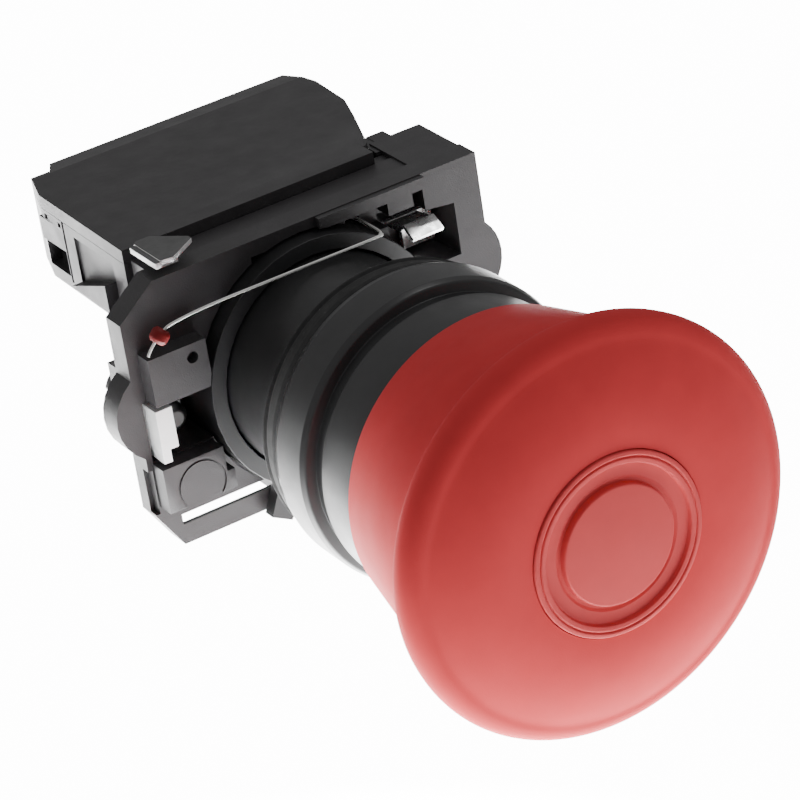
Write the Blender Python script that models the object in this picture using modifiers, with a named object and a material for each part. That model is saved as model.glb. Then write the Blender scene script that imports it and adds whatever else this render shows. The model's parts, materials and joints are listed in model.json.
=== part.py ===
"""Push-pull emergency stop: a mushroom head for a 22 mm panel hole, its fixing collar and one contact block.

Every piece is drawn in millimetres in an operator frame: U to the right, V up, and A forward along the
button's axis, with A = 0 at the panel's front face. The empty "operator_axis" turns that frame into
the world, where X is U, Z is V and the button faces -Y.
"""
import math

import bmesh
import bpy
from mathutils import Matrix, Vector

MM = 0.001
GAP = 0.3                      # clearance between pieces that touch or slide
ROUND = 40                     # steps round a large turned piece
SMALL_ROUND = 20               # steps round a small one

# Mushroom and stem
CAP_R = 20.0
CAP_RIM_A = 32.7               # where the mushroom is widest
CAP_FACE_A = 36.75             # the dome's face beside the insert
SKIRT_R = 15.14
SKIRT_A = 16.6
SKIRT_BORE_R = 14.5
INSERT_R = 8.75
INSERT_SEAT_A = 34.6
BOSS_R = 6.0
BOSS_A = 21.0
STEM_R = 4.4
RAMP_A0, RAMP_A1 = -4.5, 3.5   # the stem's ramp, which pushes the detent latches out
RAMP_SLOPE = 0.1
RAMP_R0 = STEM_R - RAMP_SLOPE * (RAMP_A1 - RAMP_A0)
TRAVEL = 5.5                   # push-to-stop travel

# Bezel, gasket and barrel
BEZEL_R = 15.0
BEZEL_FRONT_R = 14.2
BEZEL_FRONT_A = 18.0
FLANGE_A0, FLANGE_A1 = 3.2, 8.5
GROOVE_R = 13.75
BARREL_R = 11.0
BARREL_BORE_R = 8.4
BARREL_REAR_A = -20.0
SHELF_A0, SHELF_A1 = -6.0, -1.0
PUSHER_R = 8.0
PUSHER_A0, PUSHER_A1 = -15.2, -13.2

# Collar
COLLAR_U = 20.0
COLLAR_V0, COLLAR_V1 = -13.5, 14.2
COLLAR_A0, COLLAR_A1 = -16.3, -13.5
COLLAR_CHAMFER = 4.0
EAR_R = 5.0
LEFT_EAR, RIGHT_EAR = (-22.2, 1.0), (21.4, 3.2)    # how far each ear reaches in U, and its V
CORNER_BLOCK_A = -11.5
LOCK_HOLE_R = 13.2
LOCK_RING_R = 12.9
FIX_U, FIX_V = -16.0, -0.6     # axis of the fixing screw
FIX_HEAD_R, FIX_SHANK_R = 2.3, 1.5
WIRE_HOLE = (7.0, 11.55)       # where the lock wire hooks into the collar
BAY_U = (9.4, 16.9)            # the bay of the grip clip
BAY_V0, BAY_ROOF = 4.4, (10.9, 9.9)    # its floor, and its roof at each end
SLOT_U = (6.6, 17.4)           # the two slots above the bottom beam
SLOT_V = (-11.4, -10.3)
LIP_V0, LIP_A = 12.9, -12.8    # the lip along the top edge
CASE_U, CASE_A = 15.0, -19.4   # the case behind the plate
TOWER_U, TOWER_REAR_A = (14.1, 19.9), -23.5
TOWER_KEY_U, TOWER_KEY_A = (14.8, 16.7), -25.2     # the key at the tower's rear, beside the block
BLOCK_U = (12.0, 19.4)         # the corner blocks, from the axis outwards
LOCK_LEVER_TURN = -119         # degrees from the right-hand side
LATCH_AXIS = (-13.6, 15.55, -18.7)     # the block latch tips about U here
TONGUES = {"left": (-14.5, -11.5, -17.6), "right": (10.9, 12.5, -18.9)}   # U, U and front A
TONGUE_V = (9.5, 12.5)

# Contact block
BLOCK_V0, BLOCK_SEAM_V, BLOCK_V1 = 6.2, 13.6, 15.0
BLOCK_FLOOR_V = 7.2
BLOCK_MID_V = 10.2
TERMINAL_U = {"left": -10.6, "right": 11.6}
STRIP_A = -33.2                # the rear face of the terminal strips
WIRE_SPACE = 4.3               # from the strip to the open clamp
STRIP = 0.8                    # thickness of the brass strips
PLUNGER_A = -24.5              # the rear of the plunger's nose


# ---------------------------------------------------------------- scene and materials

def clear_scene():
    for old in list(bpy.data.objects):
        bpy.data.objects.remove(old, do_unlink=True)


def new_collection(name):
    collection = bpy.data.collections.new(name)
    bpy.context.scene.collection.children.link(collection)
    return collection


def principled(name, colour, roughness, metallic=0.0):
    material = bpy.data.materials.new(name)
    material.use_nodes = True
    shader = material.node_tree.nodes["Principled BSDF"]
    shader.inputs["Base Color"].default_value = (*colour, 1.0)
    shader.inputs["Roughness"].default_value = roughness
    shader.inputs["Metallic"].default_value = metallic
    return material


clear_scene()
PARTS = new_collection("emergency_stop_button")
CUTTERS = new_collection("cutters")
AXIS = bpy.data.objects.new("operator_axis", None)
AXIS.rotation_euler = (math.pi / 2, 0, 0)
PARTS.objects.link(AXIS)

RED = principled("red_plastic", (0.62, 0.03, 0.03), 0.42)
BLACK = principled("black_plastic", (0.02, 0.02, 0.022), 0.45)
RUBBER = principled("black_rubber", (0.015, 0.015, 0.015), 0.8)
STEEL = principled("zinc_plated_steel", (0.72, 0.72, 0.74), 0.3, 1.0)
SPRING = principled("spring_steel", (0.55, 0.55, 0.56), 0.28, 1.0)
BRASS = principled("brass", (0.78, 0.58, 0.27), 0.3, 1.0)
WHITE = principled("white_plastic", (0.75, 0.74, 0.7), 0.4)


# ---------------------------------------------------------------- shapes

def add_object(name, mesh, material=None):
    obj = bpy.data.objects.new(name, mesh)
    PARTS.objects.link(obj)
    obj.parent = AXIS
    if material:
        mesh.materials.append(material)
    return obj


def mesh_from(bm, name):
    mesh = bpy.data.meshes.new(name)
    bm.to_mesh(mesh)
    bm.free()
    return mesh


def turned(name, profile, material=None, steps=ROUND):
    """Turns a profile of (radius, A) points about the A axis; one that leaves the axis is a closed ring."""
    bm = bmesh.new()
    verts = [bm.verts.new((r * MM, 0, a * MM)) for r, a in profile]
    solid = profile[0][0] == 0 and profile[-1][0] == 0
    for first, second in zip(verts, verts[1:] if solid else verts[1:] + verts[:1]):
        bm.edges.new((first, second))
    obj = add_object(name, mesh_from(bm, name), material)
    screw = obj.modifiers.new("turn", "SCREW")
    screw.steps = screw.render_steps = steps
    screw.use_merge_vertices = True
    screw.merge_threshold = 0.00001
    return obj


def box(name, u, v, a, material=None):
    """A block between two values of each of U, V and A."""
    bm = bmesh.new()
    bmesh.ops.create_cube(bm, size=1)
    low, high = Vector((u[0], v[0], a[0])), Vector((u[1], v[1], a[1]))
    size, middle = high - low, (low + high) / 2
    for vert in bm.verts:
        vert.co = Vector([c * s + m for c, s, m in zip(vert.co, size, middle)]) * MM
    return add_object(name, mesh_from(bm, name), material)


def rod(name, radius, ends, at=(0, 0), along="a", material=None, steps=SMALL_ROUND):
    """A plain rod along A at (U, V), or along U at (V, A)."""
    bm = bmesh.new()
    length = ends[1] - ends[0]
    bmesh.ops.create_cone(bm, cap_ends=True, segments=steps, radius1=radius * MM, radius2=radius * MM,
                          depth=length * MM)
    middle = (ends[0] + ends[1]) / 2
    place = Matrix.Translation(Vector((at[0], at[1], middle)) * MM)
    if along == "u":
        place = Matrix.Translation(Vector((middle, at[0], at[1])) * MM) @ Matrix.Rotation(math.pi / 2, 4, "Y")
    bm.transform(place)
    return add_object(name, mesh_from(bm, name), material)


# How an outline's own X, Y and Z lie in U, V and A, for each direction of extrusion
OUTLINE_FRAMES = {
    "a": Matrix(((1, 0, 0), (0, 1, 0), (0, 0, 1))),       # (U, V) points
    "v": Matrix(((1, 0, 0), (0, 0, 1), (0, -1, 0))),      # (U, -A) points
    "u": Matrix(((0, 0, 1), (1, 0, 0), (0, 1, 0))),       # (V, A) points
}


def prism(name, outline, low, high, material=None, along="a"):
    """Extrudes a flat outline: (U, V) points along A, (U, A) points along V, or (V, A) points along U."""
    curve = bpy.data.curves.new(name, "CURVE")
    curve.dimensions = "2D"
    curve.fill_mode = "BOTH"
    curve.extrude = (high - low) / 2 * MM
    spline = curve.splines.new("POLY")
    spline.points.add(len(outline) - 1)
    side = -1 if along == "v" else 1
    for point, (p, q) in zip(spline.points, outline):
        point.co = (p * MM, side * q * MM, 0, 1)
    spline.use_cyclic_u = True
    guide = bpy.data.objects.new(name + "_outline", curve)
    PARTS.objects.link(guide)
    graph = bpy.context.evaluated_depsgraph_get()
    mesh = bpy.data.meshes.new_from_object(guide.evaluated_get(graph))
    bpy.data.objects.remove(guide, do_unlink=True)
    mesh.materials.clear()
    bm = bmesh.new()
    bm.from_mesh(mesh)
    bmesh.ops.remove_doubles(bm, verts=bm.verts, dist=0.000001)
    bmesh.ops.recalc_face_normals(bm, faces=bm.faces)
    lift = Matrix.Translation((0, 0, (low + high) / 2 * MM))
    bm.transform(OUTLINE_FRAMES[along].to_4x4() @ lift)
    bm.to_mesh(mesh)
    bm.free()
    return add_object(name, mesh, material)


def combine(obj, tools, operation):
    for tool in tools:
        boolean = obj.modifiers.new(operation.lower(), "BOOLEAN")
        boolean.operation = operation
        boolean.solver = "EXACT"
        boolean.object = tool
        PARTS.objects.unlink(tool)
        CUTTERS.objects.link(tool)
        tool.hide_render = True
        tool.display_type = "WIRE"
    return obj


def cut(obj, *tools):
    return combine(obj, tools, "DIFFERENCE")


def fuse(obj, *tools):
    return combine(obj, tools, "UNION")


def set_origin(obj, u, v, a):
    """Moves the object's origin to a point on its joint's axis, leaving its shape where it is."""
    origin = Vector((u, v, a)) * MM
    obj.data.transform(Matrix.Translation(-origin))
    obj.location = origin
    return obj


def wire(name, points, radius, material):
    """A round wire through a list of (U, V, A) points."""
    curve = bpy.data.curves.new(name, "CURVE")
    curve.dimensions = "3D"
    curve.bevel_depth = radius * MM
    curve.bevel_resolution = 2
    curve.use_fill_caps = True
    spline = curve.splines.new("POLY")
    spline.points.add(len(points) - 1)
    for point, place in zip(spline.points, points):
        point.co = (*(c * MM for c in place), 1)
    obj = bpy.data.objects.new(name, curve)
    PARTS.objects.link(obj)
    obj.parent = AXIS
    curve.materials.append(material)
    return obj


def coil(name, ends, mean_r, wire_r, turns, at=(0, 0), along="a", points_per_turn=12):
    """A compression spring between two values of A, or of U, with its centre line at the other two."""
    count = int(turns * points_per_turn) + 1
    places = []
    for i in range(count):
        turn = 2 * math.pi * i / points_per_turn
        run = ends[0] + wire_r + (ends[1] - ends[0] - 2 * wire_r) * i / (count - 1)
        p, q = mean_r * math.cos(turn), mean_r * math.sin(turn)
        places.append((at[0] + p, at[1] + q, run) if along == "a" else (run, at[0] + p, at[1] + q))
    return wire(name, places, wire_r, SPRING)


def slotted_screw(name, at, head_r, head_a, shank_r, shank_a):
    """A cheese-head screw along A: its head faces away from its shank and has a straight slot."""
    top, under = head_a
    tip_r = shank_r * 0.6
    tip_a = shank_a + (0.6 if under > shank_a else -0.6)
    profile = [(0, top), (head_r, top), (head_r, under), (shank_r, under), (shank_r, tip_a),
               (tip_r, shank_a), (0, shank_a)]
    if top < under:
        profile.reverse()
    slot_floor = top + (under - top) * 0.5
    screw = turned(name, profile, STEEL, SMALL_ROUND)
    slot = box(name + "_slot", (-head_r - 1, head_r + 1), (-0.4, 0.4),
               sorted((slot_floor, top + (top - under))))
    cut(screw, slot)
    for piece in (screw, slot):
        piece.location = Vector((at[0], at[1], 0)) * MM
    return screw


# ---------------------------------------------------------------- head

def bezel_ring():
    lip_r, seat_r, step_a = 8.8, BARREL_R + GAP, 13.3
    soft = 0.4
    return turned("bezel_ring", [
        (BEZEL_FRONT_R - soft, BEZEL_FRONT_A), (BEZEL_FRONT_R, BEZEL_FRONT_A - soft),
        (BEZEL_FRONT_R, FLANGE_A1 + 1.9), (GROOVE_R, FLANGE_A1 + 1.7), (GROOVE_R, FLANGE_A1 + 0.3),
        (BEZEL_R - soft, FLANGE_A1), (BEZEL_R, FLANGE_A1 - soft), (BEZEL_R, FLANGE_A0 + soft),
        (BEZEL_R - soft, FLANGE_A0), (seat_r, FLANGE_A0), (seat_r, step_a), (lip_r, step_a),
        (lip_r, BEZEL_FRONT_A)], BLACK)


def panel_gasket():
    top = FLANGE_A0 - GAP
    inner = BARREL_R + GAP
    return turned("panel_gasket", [(14.5, top), (14.1, 0), (inner, 0), (inner, top)], RUBBER)


def stem_seal():
    inner, outer, low, high = BOSS_R + GAP, 8.5, 13.6, 16.6
    return turned("stem_seal", [(outer, high), (outer, low), (inner, low), (inner + 0.5, (low + high) / 2),
                                (inner, high)], RUBBER)


def head_barrel():
    """The barrel: a shelf carries the return spring and two radial slots guide the latches."""
    front_a, shelf_r, front_bore = 13.0, 5.2, 8.8
    barrel = turned("head_barrel", [
        (BARREL_R, front_a), (BARREL_R, BARREL_REAR_A), (BARREL_BORE_R, BARREL_REAR_A),
        (BARREL_BORE_R, SHELF_A0), (shelf_r, SHELF_A0), (shelf_r, SHELF_A1), (front_bore, SHELF_A1),
        (front_bore, front_a)], BLACK)
    key = box("panel_key", (-1.2, 1.2), (-12.2, -10.4), (-6.5, -GAP))
    reach, half_width = 9.9, 2.1
    slot = box("latch_slot", (-reach, reach), (-half_width, half_width), (-4.6, SHELF_A1 + 0.5))
    fuse(barrel, key)
    return cut(barrel, slot)


def detent_latch(side):
    """A sprung latch whose nose follows the ramp on the stem."""
    sign = -1 if side == "left" else 1
    nose, neck, back = 4.06, 5.4, 7.6
    ridge, flat, half_length, half_width = -2.9, 0.5, 1.4, 1.8
    low, high = ridge - half_length, ridge + half_length
    outline = [(nose, ridge - flat), (neck, low), (back, low), (back, high), (neck, high),
               (nose, ridge + flat)]
    outline = [(sign * u, a) for u, a in outline]
    latch = prism("detent_latch_" + side, outline, -half_width, half_width, STEEL, along="v")
    return set_origin(latch, sign * nose, 0, ridge)


def latch_spring(side):
    ends = (7.8, 9.75) if side == "right" else (-9.75, -7.8)
    return coil("latch_spring_" + side, ends, 1.0, 0.18, 3, at=(0, -2.9), along="u", points_per_turn=8)


# ---------------------------------------------------------------- actuator

def mushroom_cap():
    """The red mushroom: a domed face, a rounded rim, a flared skirt and a boss for the stem."""
    rim = [(CAP_R * f, CAP_RIM_A + rise) for f, rise in (
        (0.60, 3.75), (0.75, 3.2), (0.875, 2.35), (0.95, 1.45), (0.988, 0.7), (1.0, 0.0), (0.995, -0.6),
        (0.972, -1.2), (0.93, -1.9), (0.895, -3.4))]
    skirt = [(17.4, 26.4), (SKIRT_R, SKIRT_A)]
    hollow_r, roof_a, fillet, bore_r, recess_r, recess_a = 16.0, 32.3, 1.0, 2.1, 3.5, 32.4
    inside = [(SKIRT_BORE_R, SKIRT_A), (SKIRT_BORE_R, 22.5), (hollow_r, 27.5), (hollow_r, 30.5),
              (hollow_r - 2, roof_a), (BOSS_R + fillet, roof_a), (BOSS_R, roof_a - fillet), (BOSS_R, BOSS_A),
              (bore_r, BOSS_A), (bore_r, recess_a), (recess_r, recess_a), (recess_r, INSERT_SEAT_A),
              (INSERT_R + GAP, INSERT_SEAT_A)]
    return turned("mushroom_cap", [(INSERT_R + GAP, CAP_FACE_A)] + rim + skirt + inside, RED)


def face_insert():
    """The disc pressed into the mushroom's face: an outer ring, a moat and a raised centre."""
    ring_in, moat_a, centre_r = 7.65, CAP_FACE_A - 0.55, 5.8
    return turned("face_insert", [
        (0, CAP_FACE_A + 0.2), (centre_r - 0.4, CAP_FACE_A + 0.15), (centre_r, moat_a), (ring_in, moat_a),
        (ring_in + 0.15, CAP_FACE_A + 0.1), (INSERT_R - 0.2, CAP_FACE_A + 0.1), (INSERT_R, CAP_FACE_A - 0.15),
        (INSERT_R, INSERT_SEAT_A + GAP), (0, INSERT_SEAT_A + GAP)], RED)


def stem():
    front, shoulder, tail = BOSS_A - GAP, PUSHER_A1 + GAP, -17.0
    groove_a0, groove_a1 = -16.5, -15.2
    core_r, groove_r, tail_r, bore_floor = 2.0, 2.4, 3.0, 6.5
    return turned("stem", [
        (STEM_R, front), (STEM_R, RAMP_A1), (RAMP_R0, RAMP_A0), (RAMP_R0, shoulder), (tail_r, shoulder),
        (tail_r, groove_a1), (groove_r, groove_a1), (groove_r, groove_a0), (tail_r, groove_a0),
        (tail_r, tail), (1.0, tail), (1.0, bore_floor), (core_r, bore_floor), (core_r, front)],
        WHITE, SMALL_ROUND)


def cap_screw():
    return slotted_screw("cap_screw", (0, 0), 3.2, (34.3, 32.7), 1.7, 8.0)


def pusher_plate():
    hole = 3.3
    return turned("pusher_plate", [(PUSHER_R, PUSHER_A1), (PUSHER_R, PUSHER_A0), (hole, PUSHER_A0),
                                   (hole, PUSHER_A1)], WHITE)


def stem_circlip():
    outer, inner, front, rear = 4.6, 2.7, -15.5, -16.2
    clip = turned("stem_circlip", [(outer, front), (outer, rear), (inner, rear), (inner, front)], SPRING,
                  SMALL_ROUND)
    return cut(clip, box("circlip_gap", (-1.6, 1.6), (-6, 0), (-17, -15)))


def return_spring():
    return coil("return_spring", (SHELF_A1 + GAP, BOSS_A - GAP), 5.3, 0.4, 7)


# ---------------------------------------------------------------- collar

def arc(centre, radius, start, stop, steps):
    """Points of an arc, from one angle to another in degrees."""
    points = []
    for i in range(steps + 1):
        angle = math.radians(start + (stop - start) * i / steps)
        points.append((centre[0] + radius * math.cos(angle), centre[1] + radius * math.sin(angle)))
    return points


def ear(tip_u, v, facing):
    """The arc of an ear, from where it leaves the plate's side to where it comes back."""
    out = abs(tip_u) - EAR_R
    reach = math.degrees(math.acos((COLLAR_U - out) / EAR_R))
    return arc((math.copysign(out, tip_u), v), EAR_R, facing - reach, facing + reach, 8)


def collar_outline():
    """A rectangle with three cut corners and a round ear on each side."""
    c = COLLAR_CHAMFER
    right_ear, left_ear = ear(*RIGHT_EAR, 0), ear(*LEFT_EAR, 180)
    bottom = [(-COLLAR_U, COLLAR_V0 + c), (-COLLAR_U + 0.6 * c, COLLAR_V0), (COLLAR_U - 0.6 * c, COLLAR_V0),
              (COLLAR_U, COLLAR_V0 + c)]
    top = [(COLLAR_U, COLLAR_V1), (-COLLAR_U + c, COLLAR_V1), (-COLLAR_U, COLLAR_V1 - 0.8 * c)]
    return bottom + right_ear + top + left_ear


def beam_slot(side, ends):
    """The cutter of a slot above the bottom beam; its floor falls away behind the beam's thin top edge."""
    low, high = SLOT_V
    edge_a, rear_a = COLLAR_A1 - 0.5, -24
    fall = (edge_a - rear_a) * math.tan(math.radians(35))
    outline = [(high, -10), (low, -10), (low, edge_a), (low - fall, rear_a), (high, rear_a)]
    return prism("slot_" + side, outline, *ends, along="u")


def collar_body():
    """The fixing collar: a front plate with corner blocks, a case round the barrel and a corner tower."""
    plate = prism("collar_body", collar_outline(), COLLAR_A0, COLLAR_A1, BLACK)
    fuse(plate, *collar_case(), *collar_front())
    return cut(plate, *collar_bores(), *collar_bays(), *collar_pockets())


def collar_case():
    """What stands behind the plate: the case, the tower with its key and step, and the screw's boss."""
    behind = COLLAR_A0 + 1
    return [box("case", (-CASE_U, CASE_U), (COLLAR_V0 + 0.5, COLLAR_V1 - 0.3), (CASE_A, behind)),
            box("case_rear", (-CASE_U, CASE_U), (COLLAR_V0 + 0.6, 4.6), (CASE_A - 3, CASE_A + 0.4)),
            box("tower", TOWER_U, (3, COLLAR_V1 - 0.1), (TOWER_REAR_A, behind)),
            box("tower_key", TOWER_KEY_U, (3.5, COLLAR_V1 - 0.2), (TOWER_KEY_A, TOWER_REAR_A + 1)),
            box("tower_step", (9.0, TOWER_U[0] + 0.1), (4.7, COLLAR_V1 - 0.6), (-21.2, CASE_A + 0.4)),
            box("screw_boss", (FIX_U - 2.4, FIX_U + 2.5), (FIX_V - 4.2, FIX_V + 4.2), (-21.6, behind))]


def collar_front():
    """What stands in front of the plate: three corner blocks and the lip along the top edge."""
    front = (COLLAR_A1 - 1, CORNER_BLOCK_A)
    low, inner, outer = (-8.6, -3.9), *BLOCK_U
    return [box("block_upper_left", (0.6 - outer, -inner - 0.6), (2.6, 7.6), front),
            box("block_lower_left", (-outer, -inner), low, front),
            box("block_lower_right", (inner, outer), low, front),
            box("top_lip", (1.8, 13.7), (LIP_V0, COLLAR_V1 - 0.1), (COLLAR_A1 - 1, LIP_A))]


def collar_bores():
    clear_a = CORNER_BLOCK_A + 1.5
    return [rod("lock_hole", LOCK_HOLE_R, (-20.3, clear_a), steps=ROUND),
            rod("pusher_hole", PUSHER_R + 0.8, (-24, CASE_A), steps=ROUND),
            rod("fixing_hole", FIX_SHANK_R + GAP, (-24, CASE_A), at=(FIX_U, FIX_V), steps=16),
            rod("fixing_seat", FIX_HEAD_R + 0.4, (-24, -21.6), at=(FIX_U, FIX_V)),
            rod("block_hole", 0.6, (-12.7, clear_a), at=(-14.2, 6.2), steps=12),
            rod("wire_hole", 0.55, (-15.7, clear_a), at=WIRE_HOLE, steps=12)]


def collar_bays():
    """The open bays in the collar's front, the recess round its small post and the two long slots."""
    clear_a = CORNER_BLOCK_A + 1.5
    (bay_in, bay_out), (roof_in, roof_out) = BAY_U, BAY_ROOF
    clip_bay = [(bay_in, BAY_V0), (bay_out, BAY_V0), (bay_out, roof_out), (bay_in, roof_in)]
    recess = box("post_recess", (4.9, 13.7), (10.2, LIP_V0), (-15.5, clear_a))
    cut(recess, box("post", (9.7, 12.5), (11.2, LIP_V0 - GAP), (-16, COLLAR_A1 + 0.2)))
    return [box("clamp_bay", (-19.3, -12.2), (-3.7, 2.5), (-19.8, clear_a)),
            prism("clip_bay", clip_bay, -18.6, clear_a),
            box("window_top", (-5.5, 3.4), (10.9, LIP_V0 - GAP), (-17.8, clear_a)),
            recess,
            beam_slot("left", (-SLOT_U[1], -SLOT_U[0])),
            beam_slot("right", SLOT_U)]


def collar_pockets():
    """The two pockets that take the contact block's tongues."""
    v = (TONGUE_V[0] - GAP, TONGUE_V[1] + GAP)
    return [box("pocket_" + side, (u0 - GAP, u1 + GAP), v, (-24, front_a + 2 * GAP))
            for side, (u0, u1, front_a) in TONGUES.items()]


def lock_ring():
    """The ring that turns in the collar to lock the barrel; its lever stands out at the bottom."""
    front, rear = -11.8, -18.8
    ring = turned("lock_ring", [(LOCK_RING_R, front), (LOCK_RING_R, rear), (BARREL_R + GAP, rear),
                                (BARREL_R + GAP, front)], BLACK)
    lever = prism("lock_lever", [(11.8, -1.6), (16.2, -1.2), (16.2, 1.2), (11.8, 1.6)], -13.2, front)
    lever.rotation_euler = (0, 0, math.radians(LOCK_LEVER_TURN))
    return fuse(ring, lever)


def lock_wire():
    """The spring wire across the top of the barrel, hooked down at one end and back at the other."""
    top, run_a = WIRE_HOLE[1], -9.9
    hook_u = WIRE_HOLE[0]
    points = [(-19.4, 8.9, run_a), (-18.9, 9.9, run_a), (-18.0, 10.8, run_a), (-16.8, 11.35, run_a),
              (-15.5, top, run_a), (hook_u - 1.2, top, run_a), (hook_u - 0.35, top, run_a - 0.35),
              (hook_u, top, run_a - 1.2), (hook_u, top, -15.3)]
    return wire("lock_wire", points, 0.17, SPRING)


def lock_wire_bead():
    """A red bead threaded on the hooked end of the lock wire."""
    end_r, middle_r, bore_r, end, shoulder = 0.8, 1.15, 0.5, 0.9, 0.45
    bead = turned("lock_wire_bead", [(end_r, end), (middle_r, shoulder), (middle_r, -shoulder), (end_r, -end),
                                     (bore_r, -end), (bore_r, end)], RED, 16)
    along_wire = Vector((0.9, 0.9, 0.0))
    bead.rotation_euler = along_wire.to_track_quat("Z", "Y").to_euler()
    bead.location = Vector((-18.45, 10.35, -9.9)) * MM
    return bead


def clamp_plate():
    """The bent steel jaw that the fixing screw draws against the back of the panel."""
    outline = [(-19.0, -11.6), (-17.2, -11.6), (-17.2, -12.3), (-18.3, -12.3), (-18.3, -17.6), (-13.5, -17.6),
               (-13.5, -18.4), (-19.0, -18.4)]
    plate = prism("clamp_plate", outline, -3.4, 2.2, STEEL, along="v")
    hole = rod("clamp_hole", 1.8, (-20, -16), at=(FIX_U, FIX_V), steps=16)
    cut(plate, hole)
    return set_origin(plate, FIX_U, FIX_V, -18)


def fixing_screw():
    return slotted_screw("fixing_screw", (FIX_U, FIX_V), FIX_HEAD_R, (-23.8, -22.0), FIX_SHANK_R, -13.8)


def grip_clip():
    """A bent steel clip in the collar's upper corner whose front edge grips the panel."""
    roof_v, thick, rear, front = 8.5, 0.6, -18.3, -12.2
    clip = box("grip_clip", (13.0, 16.6), (4.9, roof_v), (rear, rear + thick), STEEL)
    return fuse(clip,
                box("clip_tooth", (11.5, 15.0), (roof_v - thick, roof_v), (rear + 0.1, front)),
                box("clip_lip", (11.5, 14.9), (roof_v - 1.2, roof_v - 0.1), (front - thick, front + 0.1)))


def block_latch():
    """The bent steel latch on top of the collar that keeps the contact block on; its front lifts."""
    outline = [(-14.7, -13.6), (-14.7, -18.7), (-14.3, -19.1), (-12.9, -19.1), (-10.2, -16.2), (-10.2, -15.6),
               (-13.4, -13.4)]
    plate = prism("block_latch", outline, 15.3, 15.8, STEEL, along="v")
    fuse(plate,
         box("latch_lip", (-15.3, -14.6), (14.5, 15.7), (-18.5, -13.5)),
         box("latch_nose", (-14.6, -12.4), (14.5, 15.5), (-15.1, -14.6)))
    return set_origin(plate, *LATCH_AXIS)


# ---------------------------------------------------------------- contact block

BLOCK_OUTLINE = [(-15.6, -19.8), (-15.3, -37.2), (-13.9, -41.6), (-11.8, -41.6), (-10.6, -44.0),
                 (16.4, -44.0), (17.4, -38.8), (17.0, -32.6), (15.6, -28.5), (13.2, -22.2), (12.6, -21.6),
                 (-10.5, -21.6), (-10.5, -19.8)]
CAVITY_OUTLINE = [(-14.2, -23.2), (-14.1, -37.0), (-13.0, -40.3), (-10.9, -40.3), (-9.8, -42.6),
                  (15.3, -42.6), (16.1, -38.6), (15.7, -32.8), (14.4, -29.0), (12.2, -23.2)]


def contact_housing():
    """The open case of the contact block, with wire entries at its ends and driver holes at the rear."""
    housing = prism("contact_housing", BLOCK_OUTLINE, BLOCK_V0, BLOCK_SEAM_V, BLACK, along="v")
    entry_a = (STRIP_A - WIRE_SPACE - 0.1, STRIP_A + 0.1)
    cut(housing,
        prism("cavity", CAVITY_OUTLINE, BLOCK_FLOOR_V, BLOCK_SEAM_V + 1, along="v"),
        box("plunger_slot", (-1.6, 1.6), (BLOCK_V0 - 1, 8.6), (PLUNGER_A - TRAVEL - 0.4, -20)),
        box("plunger_guide", (-2.9, 2.9), (BLOCK_FLOOR_V + 0.1, BLOCK_SEAM_V + 1), (-24, -22.6)),
        box("entry_left", (-17, -13), (7.6, 12.4), entry_a),
        box("entry_right", (15, 19), (7.6, 12.4), entry_a),
        rod("driver_left", 3.1, (-46, -39), at=(TERMINAL_U["left"], BLOCK_MID_V)),
        rod("driver_right", 3.1, (-46, -41), at=(TERMINAL_U["right"], BLOCK_MID_V)))
    wall_v = (BLOCK_FLOOR_V - 0.5, BLOCK_SEAM_V - GAP)
    walls = [box("divider_" + side, sorted((sign * 5.8, sign * 6.6)), wall_v, (-43, -31.6))
             for side, sign in (("left", -1), ("right", 1))]
    tongues = [box("tongue_" + side, (u0, u1), TONGUE_V, (-23, front_a))
               for side, (u0, u1, front_a) in TONGUES.items()]
    return fuse(housing, *walls, *tongues)


def contact_cover():
    return prism("contact_cover", BLOCK_OUTLINE, BLOCK_SEAM_V + GAP, BLOCK_V1, BLACK, along="v")


def contact_plunger():
    """The plunger: a nose in reach of the pusher plate and a body that pushes the bridge off."""
    body = box("contact_plunger", (-2.6, 2.6), (7.5, 12.4), (-30.7, -23.5), WHITE)
    fuse(body, box("plunger_nose", (-1.2, 1.2), (6.6, 7.7), (PLUNGER_A, PUSHER_A0 - GAP)))
    return body


def moving_bridge():
    return box("moving_bridge", (-5.2, 5.2), (8.5, 11.9), (-31.8, -31.0), BRASS)


def bridge_spring():
    return coil("bridge_spring", (-42.3, -32.1), 1.8, 0.25, 5, at=(0, BLOCK_MID_V), points_per_turn=10)


def fixed_contact(side):
    """A bent brass strip: the terminal pad at the outside, the contact arm at the inside."""
    sign = -1 if side == "left" else 1
    pad, arm = STRIP_A + STRIP, -29.9
    outer = 13.2 if side == "left" else 14.4
    outline = [(3.9, arm - STRIP), (3.9, arm), (8.0, arm), (8.0, pad), (outer, pad), (outer, STRIP_A),
               (7.2, STRIP_A), (7.2, arm - STRIP)]
    outline = [(sign * u, a) for u, a in outline]
    strip = prism("fixed_contact_" + side, outline, 7.9, 12.5, BRASS, along="v")
    return cut(strip, rod("strip_hole_" + side, 2.1, (STRIP_A - 1, pad + 1),
                          at=(TERMINAL_U[side], BLOCK_MID_V), steps=16))


def terminal_clamp(side):
    middle = TERMINAL_U[side]
    front = STRIP_A - WIRE_SPACE
    clamp = box("terminal_clamp_" + side, (middle - 2.4, middle + 2.5), (7.8, 12.6), (front - STRIP, front),
                STEEL)
    cut(clamp, rod("clamp_hole_" + side, 2.05, (front - 2, front + 1), at=(middle, BLOCK_MID_V), steps=16))
    return set_origin(clamp, middle, BLOCK_MID_V, front)


def terminal_screw(side):
    under = STRIP_A - WIRE_SPACE - STRIP - GAP
    return slotted_screw("terminal_screw_" + side, (TERMINAL_U[side], BLOCK_MID_V), 2.7, (under - 1.8, under),
                         1.7, STRIP_A + 2.2)


# ---------------------------------------------------------------- assembly

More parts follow.
